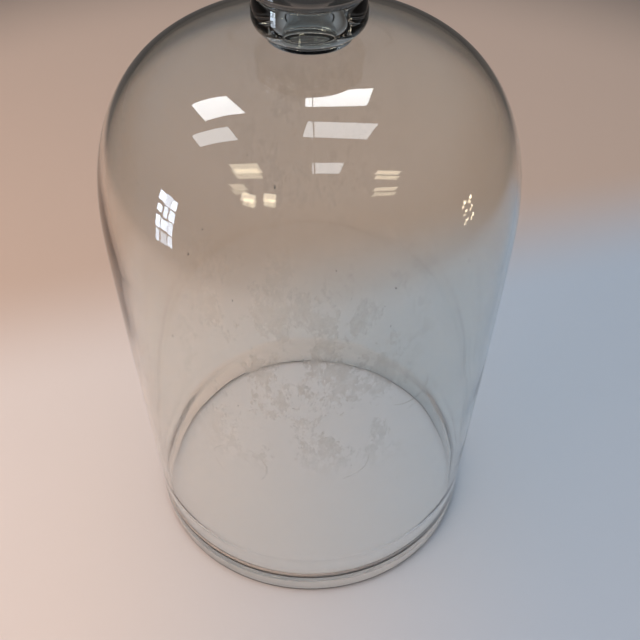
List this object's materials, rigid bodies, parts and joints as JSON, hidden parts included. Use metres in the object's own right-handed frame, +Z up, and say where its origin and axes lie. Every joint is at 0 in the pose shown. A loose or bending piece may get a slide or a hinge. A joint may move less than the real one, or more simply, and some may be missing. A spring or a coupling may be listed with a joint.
{
  "type": "glass cloche",
  "caption": "Clear blown-glass bell with a flattened crown, an open bottom with a thick polished foot, and a solid ringed knob on a short neck for lifting it.",
  "frame": {"origin": "on the bell's axis, in the plane of the flat ring that the foot rests on", "axes": "+Z up along the bell's axis, towards the knob; the bell is round, so +X and +Y are any two level directions at right angles"},
  "size_m": [0.236, 0.236, 0.391],
  "materials": {
    "bell_glass": "clear, faint grey-green tint, gloss, with a dry mineral haze inside",
    "rim_glass": "clear, fire-polished",
    "knob_glass": "clear and thick, fire-polished"
  },
  "bodies": {
    "root": {"bell": "bell_glass", "foot_rim": "rim_glass", "neck": "knob_glass", "collar": "knob_glass", "knob_cap": "knob_glass"}
  },
  "joints": []
}
